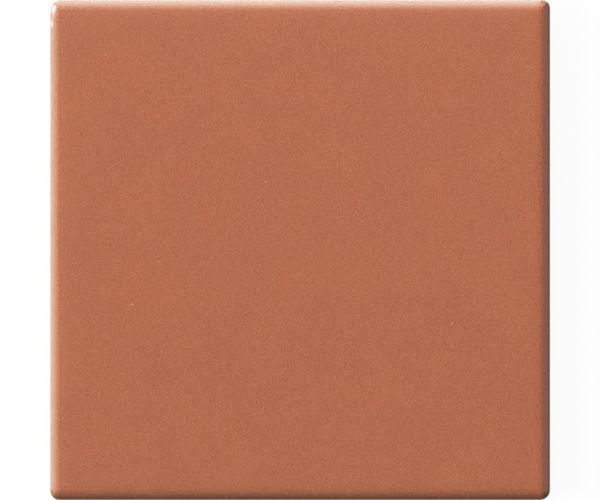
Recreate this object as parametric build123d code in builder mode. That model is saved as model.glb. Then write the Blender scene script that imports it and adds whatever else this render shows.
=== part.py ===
"""Square floor tile of pressed and fired clay, with cushioned edges and a keyed back.

The tile is one solid. It lies on its back: the origin is the middle of the back,
+Z points up through the wear face, and X and Y run along the sides. Sizes are in millimetres.
"""

import math
import os

from build123d import *

# The tile as it comes out of the kiln
SIDE = 150.0  # from side to side, both ways
THICKNESS = 12.0  # from the back to the wear face

# The cushioned edge round the wear face, and the four upright corners
EDGE_RADIUS = 2.8  # quarter round that runs from the wear face down into the sides
FACE_CORNER_RADIUS = 0.2  # what the flat of the wear face keeps of the corner's rounding
CORNER_RADIUS = EDGE_RADIUS + FACE_CORNER_RADIUS  # upright corner, in plan

# The back: a plain rim round a grid of shallow pockets that the bedding mortar grips
BACK_BEVEL = 0.6  # bevel round the back, where the lower punch meets the die
KEY_COUNT = 8  # pockets each way, an even number so that ribs cross in the middle
KEY_RIM = 9.0  # plain border from the sides to the outer pockets
KEY_RIB = 4.0  # flat rib between two pockets
KEY_DEPTH = 1.0  # how deep a pocket is pressed
KEY_DRAFT = 30.0  # lean of a pocket's walls from upright, in degrees, to let the punch go
KEY_FLOOR_RADIUS = 1.0  # corner of a pocket at its floor, which grows towards the mouth
KEY_POCKET = (SIDE - 2 * KEY_RIM - (KEY_COUNT - 1) * KEY_RIB) / KEY_COUNT  # width at the mouth
KEY_PITCH = KEY_POCKET + KEY_RIB
KEY_MOUTH_RADIUS = KEY_FLOOR_RADIUS + KEY_DEPTH * math.tan(math.radians(KEY_DRAFT))

with BuildPart() as floor_tile:
    # Pressed slab, its outline rounded at the upright corners
    with BuildSketch(Plane.XY):
        RectangleRounded(SIDE, SIDE, CORNER_RADIUS)
    extrude(amount=THICKNESS)

    # Cushioned edge all round the wear face, and the bevel round the back
    wear_face = floor_tile.faces().sort_by(Axis.Z)[-1]
    fillet(wear_face.edges(), radius=EDGE_RADIUS)
    back_face = floor_tile.faces().sort_by(Axis.Z)[0]
    chamfer(back_face.edges(), length=BACK_BEVEL)

    # Pockets of the key, pressed up into the back with leaning walls
    with BuildSketch(Plane.XY):
        with GridLocations(KEY_PITCH, KEY_PITCH, KEY_COUNT, KEY_COUNT):
            RectangleRounded(KEY_POCKET, KEY_POCKET, KEY_MOUTH_RADIUS)
    extrude(amount=KEY_DEPTH, taper=KEY_DRAFT, mode=Mode.SUBTRACT)

floor_tile.part.label = "floor_tile"

os.makedirs("parts", exist_ok=True)
export_step(floor_tile.part, "parts/floor_tile.step")
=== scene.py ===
"""Square clay floor tile with a rolled edge, lying on a white floor and seen from straight above."""

import math

import bmesh
import bpy
from mathutils import Matrix, Vector, noise


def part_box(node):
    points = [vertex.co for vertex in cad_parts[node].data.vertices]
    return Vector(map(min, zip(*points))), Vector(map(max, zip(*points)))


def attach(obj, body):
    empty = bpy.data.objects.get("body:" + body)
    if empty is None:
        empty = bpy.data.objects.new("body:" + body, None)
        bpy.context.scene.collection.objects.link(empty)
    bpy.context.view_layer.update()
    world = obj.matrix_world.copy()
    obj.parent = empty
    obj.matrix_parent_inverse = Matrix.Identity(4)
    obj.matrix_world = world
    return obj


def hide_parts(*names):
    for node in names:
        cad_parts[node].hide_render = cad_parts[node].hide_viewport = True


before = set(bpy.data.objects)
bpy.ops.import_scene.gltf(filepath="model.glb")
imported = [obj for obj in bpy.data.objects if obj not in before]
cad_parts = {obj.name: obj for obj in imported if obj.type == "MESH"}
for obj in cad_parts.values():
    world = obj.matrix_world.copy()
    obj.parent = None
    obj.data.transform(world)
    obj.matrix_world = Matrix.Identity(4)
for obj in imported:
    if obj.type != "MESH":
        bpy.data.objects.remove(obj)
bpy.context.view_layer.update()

# Tile
# One piece of red clay, pressed from damp dust in a steel die and fired through to the same colour.
# The upper punch leaves the flat wear face and the rolled edge, the die wall leaves the plain sides,
# and the lower punch leaves the bevel and the grid of pockets that the mortar grips.
MM = 0.001
tile_low, tile_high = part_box("floor_tile")
HALF_SIDE = tile_high.x
THICKNESS = tile_high.z
CORNER_RADII = {(-1, -1): 2.7 * MM, (1, -1): 3.0 * MM, (-1, 1): 3.1 * MM, (1, 1): 2.3 * MM}
FLAT_CORNER_RADIUS = 0.3 * MM
CORNER_STEPS = 10
ROLL_TILT = math.radians(41.5)
ROLL_WIDTH = 2.28 * MM
ROLL_RUN = 6.5 * MM
ROLL_STEPS = 26
ARRIS_RADIUS = 0.25 * MM
ARRIS_STEPS = 4
ARRIS_RUN = ARRIS_RADIUS * (1 - math.sin(ROLL_TILT))
BEVEL = 0.6 * MM
BEVEL_SOFTNESS = 0.12 * MM
FACE_CELL = 2.9 * MM
FACE_CELLS = 48
WAVE_LENGTH = 17 * MM
WAVE_DEPTH = 0.02 * MM
KEY_COUNT = 8
KEY_RIM = 9.0 * MM
KEY_RIB = 4.0 * MM
KEY_POCKET = (2 * HALF_SIDE - 2 * KEY_RIM - (KEY_COUNT - 1) * KEY_RIB) / KEY_COUNT
KEY_PITCH = KEY_POCKET + KEY_RIB
KEY_MOUTH_RADIUS = 1.58 * MM
POCKET_CORNER_STEPS = 4

# How far each ring stands in from the sides, and how high it is: the back's bevel first
rings = [
    (BEVEL + BEVEL_SOFTNESS, 0.0),
    (BEVEL - BEVEL_SOFTNESS, BEVEL_SOFTNESS / 2),
    (BEVEL_SOFTNESS / 2, BEVEL - BEVEL_SOFTNESS),
    (0.0, BEVEL + BEVEL_SOFTNESS),
]

# The rolled edge falls away ever more steeply towards the side, and ends in a small arris
roll = [(0.0, 0.0)]
for step in range(1, ROLL_STEPS + 1):
    run = ROLL_RUN * (step / ROLL_STEPS) ** 1.3
    last_run, last_rise = roll[-1]
    tilt = ROLL_TILT * math.exp(-(((run + last_run) / 2 / ROLL_WIDTH) ** 1.6))
    roll.append((run, last_rise + (run - last_run) * math.tan(tilt)))
ARRIS_TOP = THICKNESS - roll[-1][1]
for step in range(ARRIS_STEPS):
    tilt = math.pi / 2 + (ROLL_TILT - math.pi / 2) * step / ARRIS_STEPS
    rise = ARRIS_RADIUS * (math.cos(tilt) - math.cos(ROLL_TILT))
    rings.append((ARRIS_RADIUS * (1 - math.sin(tilt)), ARRIS_TOP + rise))
for run, rise in roll:
    rings.append((ARRIS_RUN + run, ARRIS_TOP + rise))

tile_mesh = bmesh.new()
ring_edges = []
for number, (inset, height) in enumerate(rings):
    corners = bmesh.ops.create_grid(
        tile_mesh,
        x_segments=1,
        y_segments=1,
        size=HALF_SIDE - inset,
        matrix=Matrix.Translation((0, 0, height)),
    )["verts"]
    for corner in corners:
        which = (int(math.copysign(1, corner.co.x)), int(math.copysign(1, corner.co.y)))
        bmesh.ops.bevel(
            tile_mesh,
            geom=[corner],
            offset=max(CORNER_RADII[which] - inset, FLAT_CORNER_RADIUS),
            offset_type="OFFSET",
            affect="VERTICES",
            segments=CORNER_STEPS,
            profile=0.5,
            material=-1,
        )
    tile_mesh.faces.ensure_lookup_table()
    ring = tile_mesh.faces[-1]
    ring_edges.append(ring.edges[:])
    if number < len(rings) - 1:
        bmesh.ops.delete(tile_mesh, geom=[ring], context="FACES_ONLY")
for lower, upper in zip(ring_edges, ring_edges[1:]):
    bmesh.ops.bridge_loops(tile_mesh, edges=lower + upper)

# Cut the face and edges into cells, fine enough to carry the unevenness of pressed clay
for cut in range(FACE_CELLS + 1):
    place = (cut - FACE_CELLS / 2) * FACE_CELL
    for across in (Vector((1, 0, 0)), Vector((0, 1, 0))):
        bmesh.ops.bisect_plane(
            tile_mesh,
            geom=tile_mesh.verts[:] + tile_mesh.edges[:] + tile_mesh.faces[:],
            dist=1e-7,
            plane_co=across * place,
            plane_no=across,
        )
for vert in tile_mesh.verts:
    if vert.co.z > ARRIS_TOP:
        swell = noise.noise(vert.co / WAVE_LENGTH)
        vert.co.z -= WAVE_DEPTH * (1 + swell)

# Press the pockets into the back: a soft lip, a leaning wall and a soft foot
POCKET_STEPS = [
    (0.12 * MM, 0.03 * MM),
    (0.12 * MM, 0.12 * MM),
    (0.40 * MM, 0.70 * MM),
    (0.12 * MM, 0.12 * MM),
    (0.20 * MM, 0.03 * MM),
]
mouth_corners = []
for row in range(KEY_COUNT):
    for column in range(KEY_COUNT):
        centre = Vector((column, row, 0)) * KEY_PITCH - Vector((1, 1, 0)) * KEY_PITCH * (KEY_COUNT - 1) / 2
        mouth_corners += bmesh.ops.create_grid(
            tile_mesh, x_segments=1, y_segments=1, size=KEY_POCKET / 2, matrix=Matrix.Translation(centre)
        )["verts"]
slab_faces = set(tile_mesh.faces) - {f for v in mouth_corners for f in v.link_faces}
bmesh.ops.bevel(
    tile_mesh,
    geom=mouth_corners,
    offset=KEY_MOUTH_RADIUS,
    offset_type="OFFSET",
    affect="VERTICES",
    segments=POCKET_CORNER_STEPS,
    profile=0.5,
    material=-1,
)
pockets = [f for f in tile_mesh.faces if f not in slab_faces]
bmesh.ops.reverse_faces(tile_mesh, faces=pockets)
back_outlines = [e for e in tile_mesh.edges if e.is_boundary]
bmesh.ops.triangle_fill(tile_mesh, use_beauty=True, edges=back_outlines, normal=(0, 0, -1))
for run, depth in POCKET_STEPS:
    bmesh.ops.inset_individual(
        tile_mesh, faces=pockets, thickness=run, depth=-depth, use_even_offset=True
    )
bmesh.ops.recalc_face_normals(tile_mesh, faces=tile_mesh.faces[:])
for face in tile_mesh.faces:
    face.smooth = True
for edge in back_outlines + [e for f in pockets for e in f.edges]:
    edge.smooth = False

tile_data = bpy.data.meshes.new("tile")
tile_mesh.to_mesh(tile_data)
tile_mesh.free()
tile = bpy.data.objects.new("tile", tile_data)
bpy.context.collection.objects.link(tile)


def node(tree, kind, inputs=None, **settings):
    """Add a shader node, set it up, and fill its inputs with values or with links."""
    made = tree.nodes.new("ShaderNode" + kind)
    for name, value in settings.items():
        setattr(made, name, value)
    for name, value in (inputs or {}).items():
        if isinstance(value, bpy.types.NodeSocket):
            tree.links.new(value, made.inputs[name])
        else:
            made.inputs[name].default_value = value
    return made


def blend(tree, share, first, second, way="MIX"):
    """Mix two colours. A mix node keeps its colours on sockets 6 and 7, and gives out the mix on 2."""
    return node(tree, "Mix", {0: share, 6: first, 7: second}, data_type="RGBA", blend_type=way).outputs[2]


def spread(tree, value, low, high, clamp=True):
    """Stretch the part of a value between two limits to the range from 0 to 1."""
    limits = {"Value": value, "From Min": low, "From Max": high}
    return node(tree, "MapRange", limits, clamp=clamp).outputs["Result"]


def sum_up(tree, way, first, second):
    """Put two values together by the named arithmetic."""
    return node(tree, "Math", {0: first, 1: second}, operation=way).outputs[0]


def mottle(tree, where, size, detail, warp=0.0):
    """Cloudy noise with patches of about the given size, bent out of its even spacing by the warp."""
    settings = {"Vector": where, "Scale": 1 / size, "Detail": detail, "Roughness": 0.55, "Distortion": warp}
    return node(tree, "TexNoise", settings).outputs["Fac"]


clay = bpy.data.materials.new("fired_clay")
clay.use_nodes = True
tree = clay.node_tree
tree.nodes.clear()
where = node(tree, "TexCoord").outputs["Object"]
height = node(tree, "SeparateXYZ", {"Vector": where}).outputs["Z"]

# The noise lies askew to the tile, so that its even spacing doesn't show on the flat face
askew = node(tree, "Mapping", {"Vector": where, "Rotation": (0.6, 0.5, 0.4)}).outputs["Vector"]

# Redder and browner patches, yellower and pinker granules, and a slow drift of tone from the kiln
RED_CLAY = (0.475, 0.154, 0.0790, 1)
BROWN_CLAY = (0.460, 0.159, 0.0810, 1)
patch = mottle(tree, askew, 2.4 * MM, 3.0)
colour = blend(tree, spread(tree, patch, 0.3, 0.7), RED_CLAY, BROWN_CLAY)
PINKER = (1.0, 0.91, 1.0, 1)
YELLOWER = (1.0, 1.09, 1.0, 1)
granule = mottle(tree, askew, 0.7 * MM, 1.0)
tint = blend(tree, spread(tree, granule, 0.2, 0.8), PINKER, YELLOWER)
colour = blend(tree, 1.0, colour, tint, "MULTIPLY")
DRIFT_DULL = (0.970, 0.980, 1.01, 1)
DRIFT_WARM = (1.030, 1.020, 0.99, 1)
drift = mottle(tree, askew, 17 * MM, 3.0)
tint = blend(tree, spread(tree, drift, 0.3, 0.7), DRIFT_DULL, DRIFT_WARM)
colour = blend(tree, 1.0, colour, tint, "MULTIPLY")

# Fine grain of the pressed dust
GRAIN_SHADE = (0.74, 0.39, 0.10, 1)
GRAIN_LIGHT = (1.26, 1.61, 1.90, 1)
grain = mottle(tree, askew, 0.25 * MM, 1.0, 1.0)
tint = blend(tree, spread(tree, grain, 0.2, 0.8), GRAIN_SHADE, GRAIN_LIGHT)
colour = blend(tree, 1.0, colour, tint, "MULTIPLY")

# A few pale and dark specks of coarser grit, shifted so that one lies where the photo's clearest does
PALE_SPECK = (0.70, 0.48, 0.38, 1)
DARK_SPECK = (0.26, 0.08, 0.05, 1)
GRIT_SHIFT = (66.3 * MM, 22.5 * MM, 0)
shifted = node(tree, "Mapping", {"Vector": where, "Location": GRIT_SHIFT}).outputs["Vector"]
grit = node(tree, "TexVoronoi", {"Vector": shifted, "Scale": 1 / (8 * MM)}, voronoi_dimensions="2D").outputs
luck = node(tree, "SeparateColor", {"Color": grit["Color"]}).outputs
near = spread(tree, grit["Distance"], 0.038, 0.012)
pale_speck = sum_up(tree, "MULTIPLY", near, spread(tree, luck["Red"], 0.96, 1.0))
dark_speck = sum_up(tree, "MULTIPLY", near, spread(tree, luck["Red"], 0.03, 0.0))
colour = blend(tree, pale_speck, colour, PALE_SPECK)
colour = blend(tree, dark_speck, colour, DARK_SPECK)

# Painted shade: the rolled edge is coloured darker than the face, and darkest at the arris, standing in for
# the shade of an edge that turns away from the light
EDGE_PAINTED_SHADE = (0.46, 0.46, 0.46, 1)
FLAT_DROP = 0.15 * MM
ARRIS_DROP = 1.60 * MM
edge_shade_share = spread(tree, height, THICKNESS - FLAT_DROP, THICKNESS - ARRIS_DROP)
face_colour = colour
colour = blend(tree, edge_shade_share, colour, blend(tree, 1.0, colour, EDGE_PAINTED_SHADE, "MULTIPLY"))

# The sides are duller, with upright drag marks from the die
SIDE_DARK = (0.79, 0.77, 0.77, 1)
SIDE_LIGHT = (0.91, 0.89, 0.89, 1)
side = spread(tree, height, ARRIS_TOP - 0.1 * MM, ARRIS_TOP - 0.5 * MM)
squashed = node(tree, "VectorMath", {0: where, 1: (1, 1, 0.05)}, operation="MULTIPLY").outputs[0]
drag = mottle(tree, squashed, 0.5 * MM, 2.0)
dull = blend(tree, spread(tree, drag, 0.3, 0.7), SIDE_DARK, SIDE_LIGHT)
colour = blend(tree, side, colour, blend(tree, 1.0, face_colour, dull, "MULTIPLY"))

# Satin on the face, glossier on the rolled edge, and dry on the sides and back
FACE_ROUGHNESS = 0.38
EDGE_ROUGHNESS = 0.25
DRY_ROUGHNESS = 0.7
WEAR_SPREAD = 0.05
worn = sum_up(tree, "MULTIPLY", spread(tree, patch, 0.3, 0.7), WEAR_SPREAD)
flat = spread(tree, height, THICKNESS - FLAT_DROP, THICKNESS - 0.05 * MM)
duller = sum_up(tree, "MULTIPLY", flat, FACE_ROUGHNESS - EDGE_ROUGHNESS)
roughness = sum_up(tree, "ADD", sum_up(tree, "ADD", worn, duller), EDGE_ROUGHNESS - WEAR_SPREAD / 2)
roughness = sum_up(tree, "MAXIMUM", roughness, sum_up(tree, "MULTIPLY", side, DRY_ROUGHNESS))
bump = node(tree, "Bump", {"Strength": 0.2, "Distance": 0.05 * MM, "Height": grain}).outputs["Normal"]
finish = {"Base Color": colour, "Roughness": roughness, "IOR": 1.6, "Normal": bump}
surface = node(tree, "BsdfPrincipled", finish).outputs["BSDF"]
node(tree, "OutputMaterial", {"Surface": surface})
tile_data.materials.append(clay)

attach(tile, "root")
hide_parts("floor_tile")

# Floor
# A plain white sheet that the tile lies on. The camera and reflections see it glow white, with a small
# share of matt paint that takes the tile's shadow. Light that bounces off it meets the paint alone.
FLOOR_HALF = 8.0
FLOOR_GAP = 0.05 * MM
FLOOR_PAINT = (0.92, 0.92, 0.92, 1)
FLOOR_GLOW_SHARE = 0.94
floor_mesh = bmesh.new()
bmesh.ops.create_grid(
    floor_mesh, x_segments=1, y_segments=1, size=FLOOR_HALF, matrix=Matrix.Translation((0, 0, -FLOOR_GAP))
)
floor_data = bpy.data.meshes.new("floor")
floor_mesh.to_mesh(floor_data)
floor_mesh.free()
floor = bpy.data.objects.new("floor", floor_data)
bpy.context.collection.objects.link(floor)
paper = bpy.data.materials.new("white_sheet")
paper.use_nodes = True
tree = paper.node_tree
tree.nodes.clear()
path = node(tree, "LightPath").outputs
seen = sum_up(tree, "MAXIMUM", path["Is Camera Ray"], path["Is Glossy Ray"])
seen = sum_up(tree, "MAXIMUM", seen, path["Is Transmission Ray"])
share = sum_up(tree, "MULTIPLY", seen, FLOOR_GLOW_SHARE)
paint = node(tree, "BsdfDiffuse", {"Color": FLOOR_PAINT}).outputs["BSDF"]
glow = node(tree, "Emission", {"Strength": 1.0}).outputs["Emission"]
sheet = node(tree, "MixShader", {0: share, 1: paint, 2: glow}).outputs["Shader"]
node(tree, "OutputMaterial", {"Surface": sheet})
floor_data.materials.append(paper)

# Lamps
# Two large soft boxes light the clay, one beyond the far side and one on the left. The rolled edge gets its
# gloss from strip lights close to the far and left sides, which fade upwards and have weaker, warmer ends,
# from two small bright lamps near the far left corner, and from two dim cards.
RIM_GAP = 4 * MM
STRIP_FOOT = -0.8 * MM
WHITE = (1, 1, 1)
COOL = (0.79, 1, 0.93)
WARM = (0.86, 0.97, 0.80)
AMBER = (0.85, 0.62, 0.35)
ICY = (0.68, 0.93, 1)


def soft_box(name, place, target, width, height, radiance, gloss, colour=WHITE):
    """Stand a flat lamp of the given brightness, to light the clay itself or to show in its gloss."""
    lamp = bpy.data.lights.new(name, "AREA")
    lamp.shape = "RECTANGLE"
    lamp.size = width
    lamp.size_y = height
    lamp.color = colour
    lamp.energy = radiance * math.pi * width * height
    box = bpy.data.objects.new(name, lamp)
    box.location = place
    box.rotation_euler = (Vector(target) - Vector(place)).to_track_quat("-Z", "Y").to_euler()
    box.visible_camera = False
    box.visible_diffuse = not gloss
    box.visible_glossy = gloss
    bpy.context.collection.objects.link(box)
    return lamp


def strip(name, corner_a, corner_b, low, high, radiance, fade, colour):
    """Stand a gloss light upright along a line. Its brightness is the one at the arris, and fades upwards."""
    start = Vector((*corner_a, ARRIS_TOP + (low + high) / 2))
    end = Vector((*corner_b, ARRIS_TOP + (low + high) / 2))
    middle = (start + end) / 2
    inward = (end - start).cross(Vector((0, 0, 1)))
    lamp = soft_box(name, middle, middle + inward, (end - start).length, high - low, radiance, True, colour)
    lamp.use_nodes = True
    tree = lamp.node_tree
    tree.nodes.clear()
    rise = node(tree, "SeparateXYZ", {"Vector": node(tree, "NewGeometry").outputs["Parametric"]}).outputs["Y"]
    fall = spread(tree, rise, -low / (high - low), (fade - low) / (high - low), clamp=False)
    level = sum_up(tree, "POWER", math.exp(-1), fall)
    light = node(tree, "Emission", {"Strength": level}).outputs["Emission"]
    node(tree, "OutputLight", {"Surface": light})


face_middle = (0, 0, THICKNESS)
soft_box("far_box", (0.0, 2.12, 1.51), face_middle, 1.6, 1.6, 6.7, False)
soft_box("left_box", (-5.6, 0.0, 4.21), face_middle, 4.0, 4.0, 9.6, False)
soft_box("far_card", (0.0, 0.72, 1.75), face_middle, 1.2, 0.6, 0.58, True, AMBER)
soft_box("right_card", (2.5, 0.0, 0.9), face_middle, 2.0, 1.4, 0.8, True)
beside = HALF_SIDE + RIM_GAP
far_left = (-76 * MM, beside)
far_right = (72.4 * MM, beside)
far_tip = (78 * MM, beside)
left_far = (-beside, 72 * MM)
left_near = (-beside, -72.4 * MM)
left_tip = (-beside, -78 * MM)
strip("far_strip", far_left, far_right, STRIP_FOOT, 16 * MM, 10.8, 5.6 * MM, COOL)
strip("far_end", far_right, far_tip, STRIP_FOOT, 8 * MM, 6.0, 4 * MM, AMBER)
strip("left_strip", left_near, left_far, STRIP_FOOT, 14 * MM, 8.3, 5 * MM, WARM)
strip("left_end", left_tip, left_near, STRIP_FOOT, 8 * MM, 5.4, 4 * MM, AMBER)
strip("corner_strip", left_far, far_left, STRIP_FOOT, 14 * MM, 10.5, 5 * MM, ICY)
glint_spot = (-79.4 * MM, 73.9 * MM, ARRIS_TOP + 3.2 * MM)
soft_box("glint", glint_spot, face_middle, 6.5 * MM, 3.5 * MM, 13.5, True, ICY)
spark_spot = (-79.2 * MM, 68.1 * MM, ARRIS_TOP + 1.2 * MM)
spark_aim = (0, 68.1 * MM, ARRIS_TOP)
soft_box("spark", spark_spot, spark_aim, 1.6 * MM, 1.4 * MM, 12, True, ICY)

# The room adds a faint even light
world = bpy.data.worlds.new("room")
bpy.context.scene.world = world
world.use_nodes = True
world.node_tree.nodes["Background"].inputs["Color"].default_value = (1, 1, 1, 1)
world.node_tree.nodes["Background"].inputs["Strength"].default_value = 0.06

# Camera
# A long lens straight above the tile, so that its far and near sides look the same size.
# It stands a little off the middle, because the photo isn't framed quite evenly.
PHOTO_WIDTH = 600
TILE_PIXELS = 499.6
CAMERA_HEIGHT = 1.5
camera_data = bpy.data.cameras.new("camera")
camera_data.sensor_width = 36
seen_width = PHOTO_WIDTH / TILE_PIXELS * 2 * HALF_SIDE
camera_data.lens = camera_data.sensor_width * CAMERA_HEIGHT / seen_width
camera = bpy.data.objects.new("camera", camera_data)
camera.location = (-0.06 * MM, 0.045 * MM, ARRIS_TOP + CAMERA_HEIGHT)
bpy.context.collection.objects.link(camera)
bpy.context.scene.camera = camera
bpy.context.scene.view_settings.view_transform = "Standard"
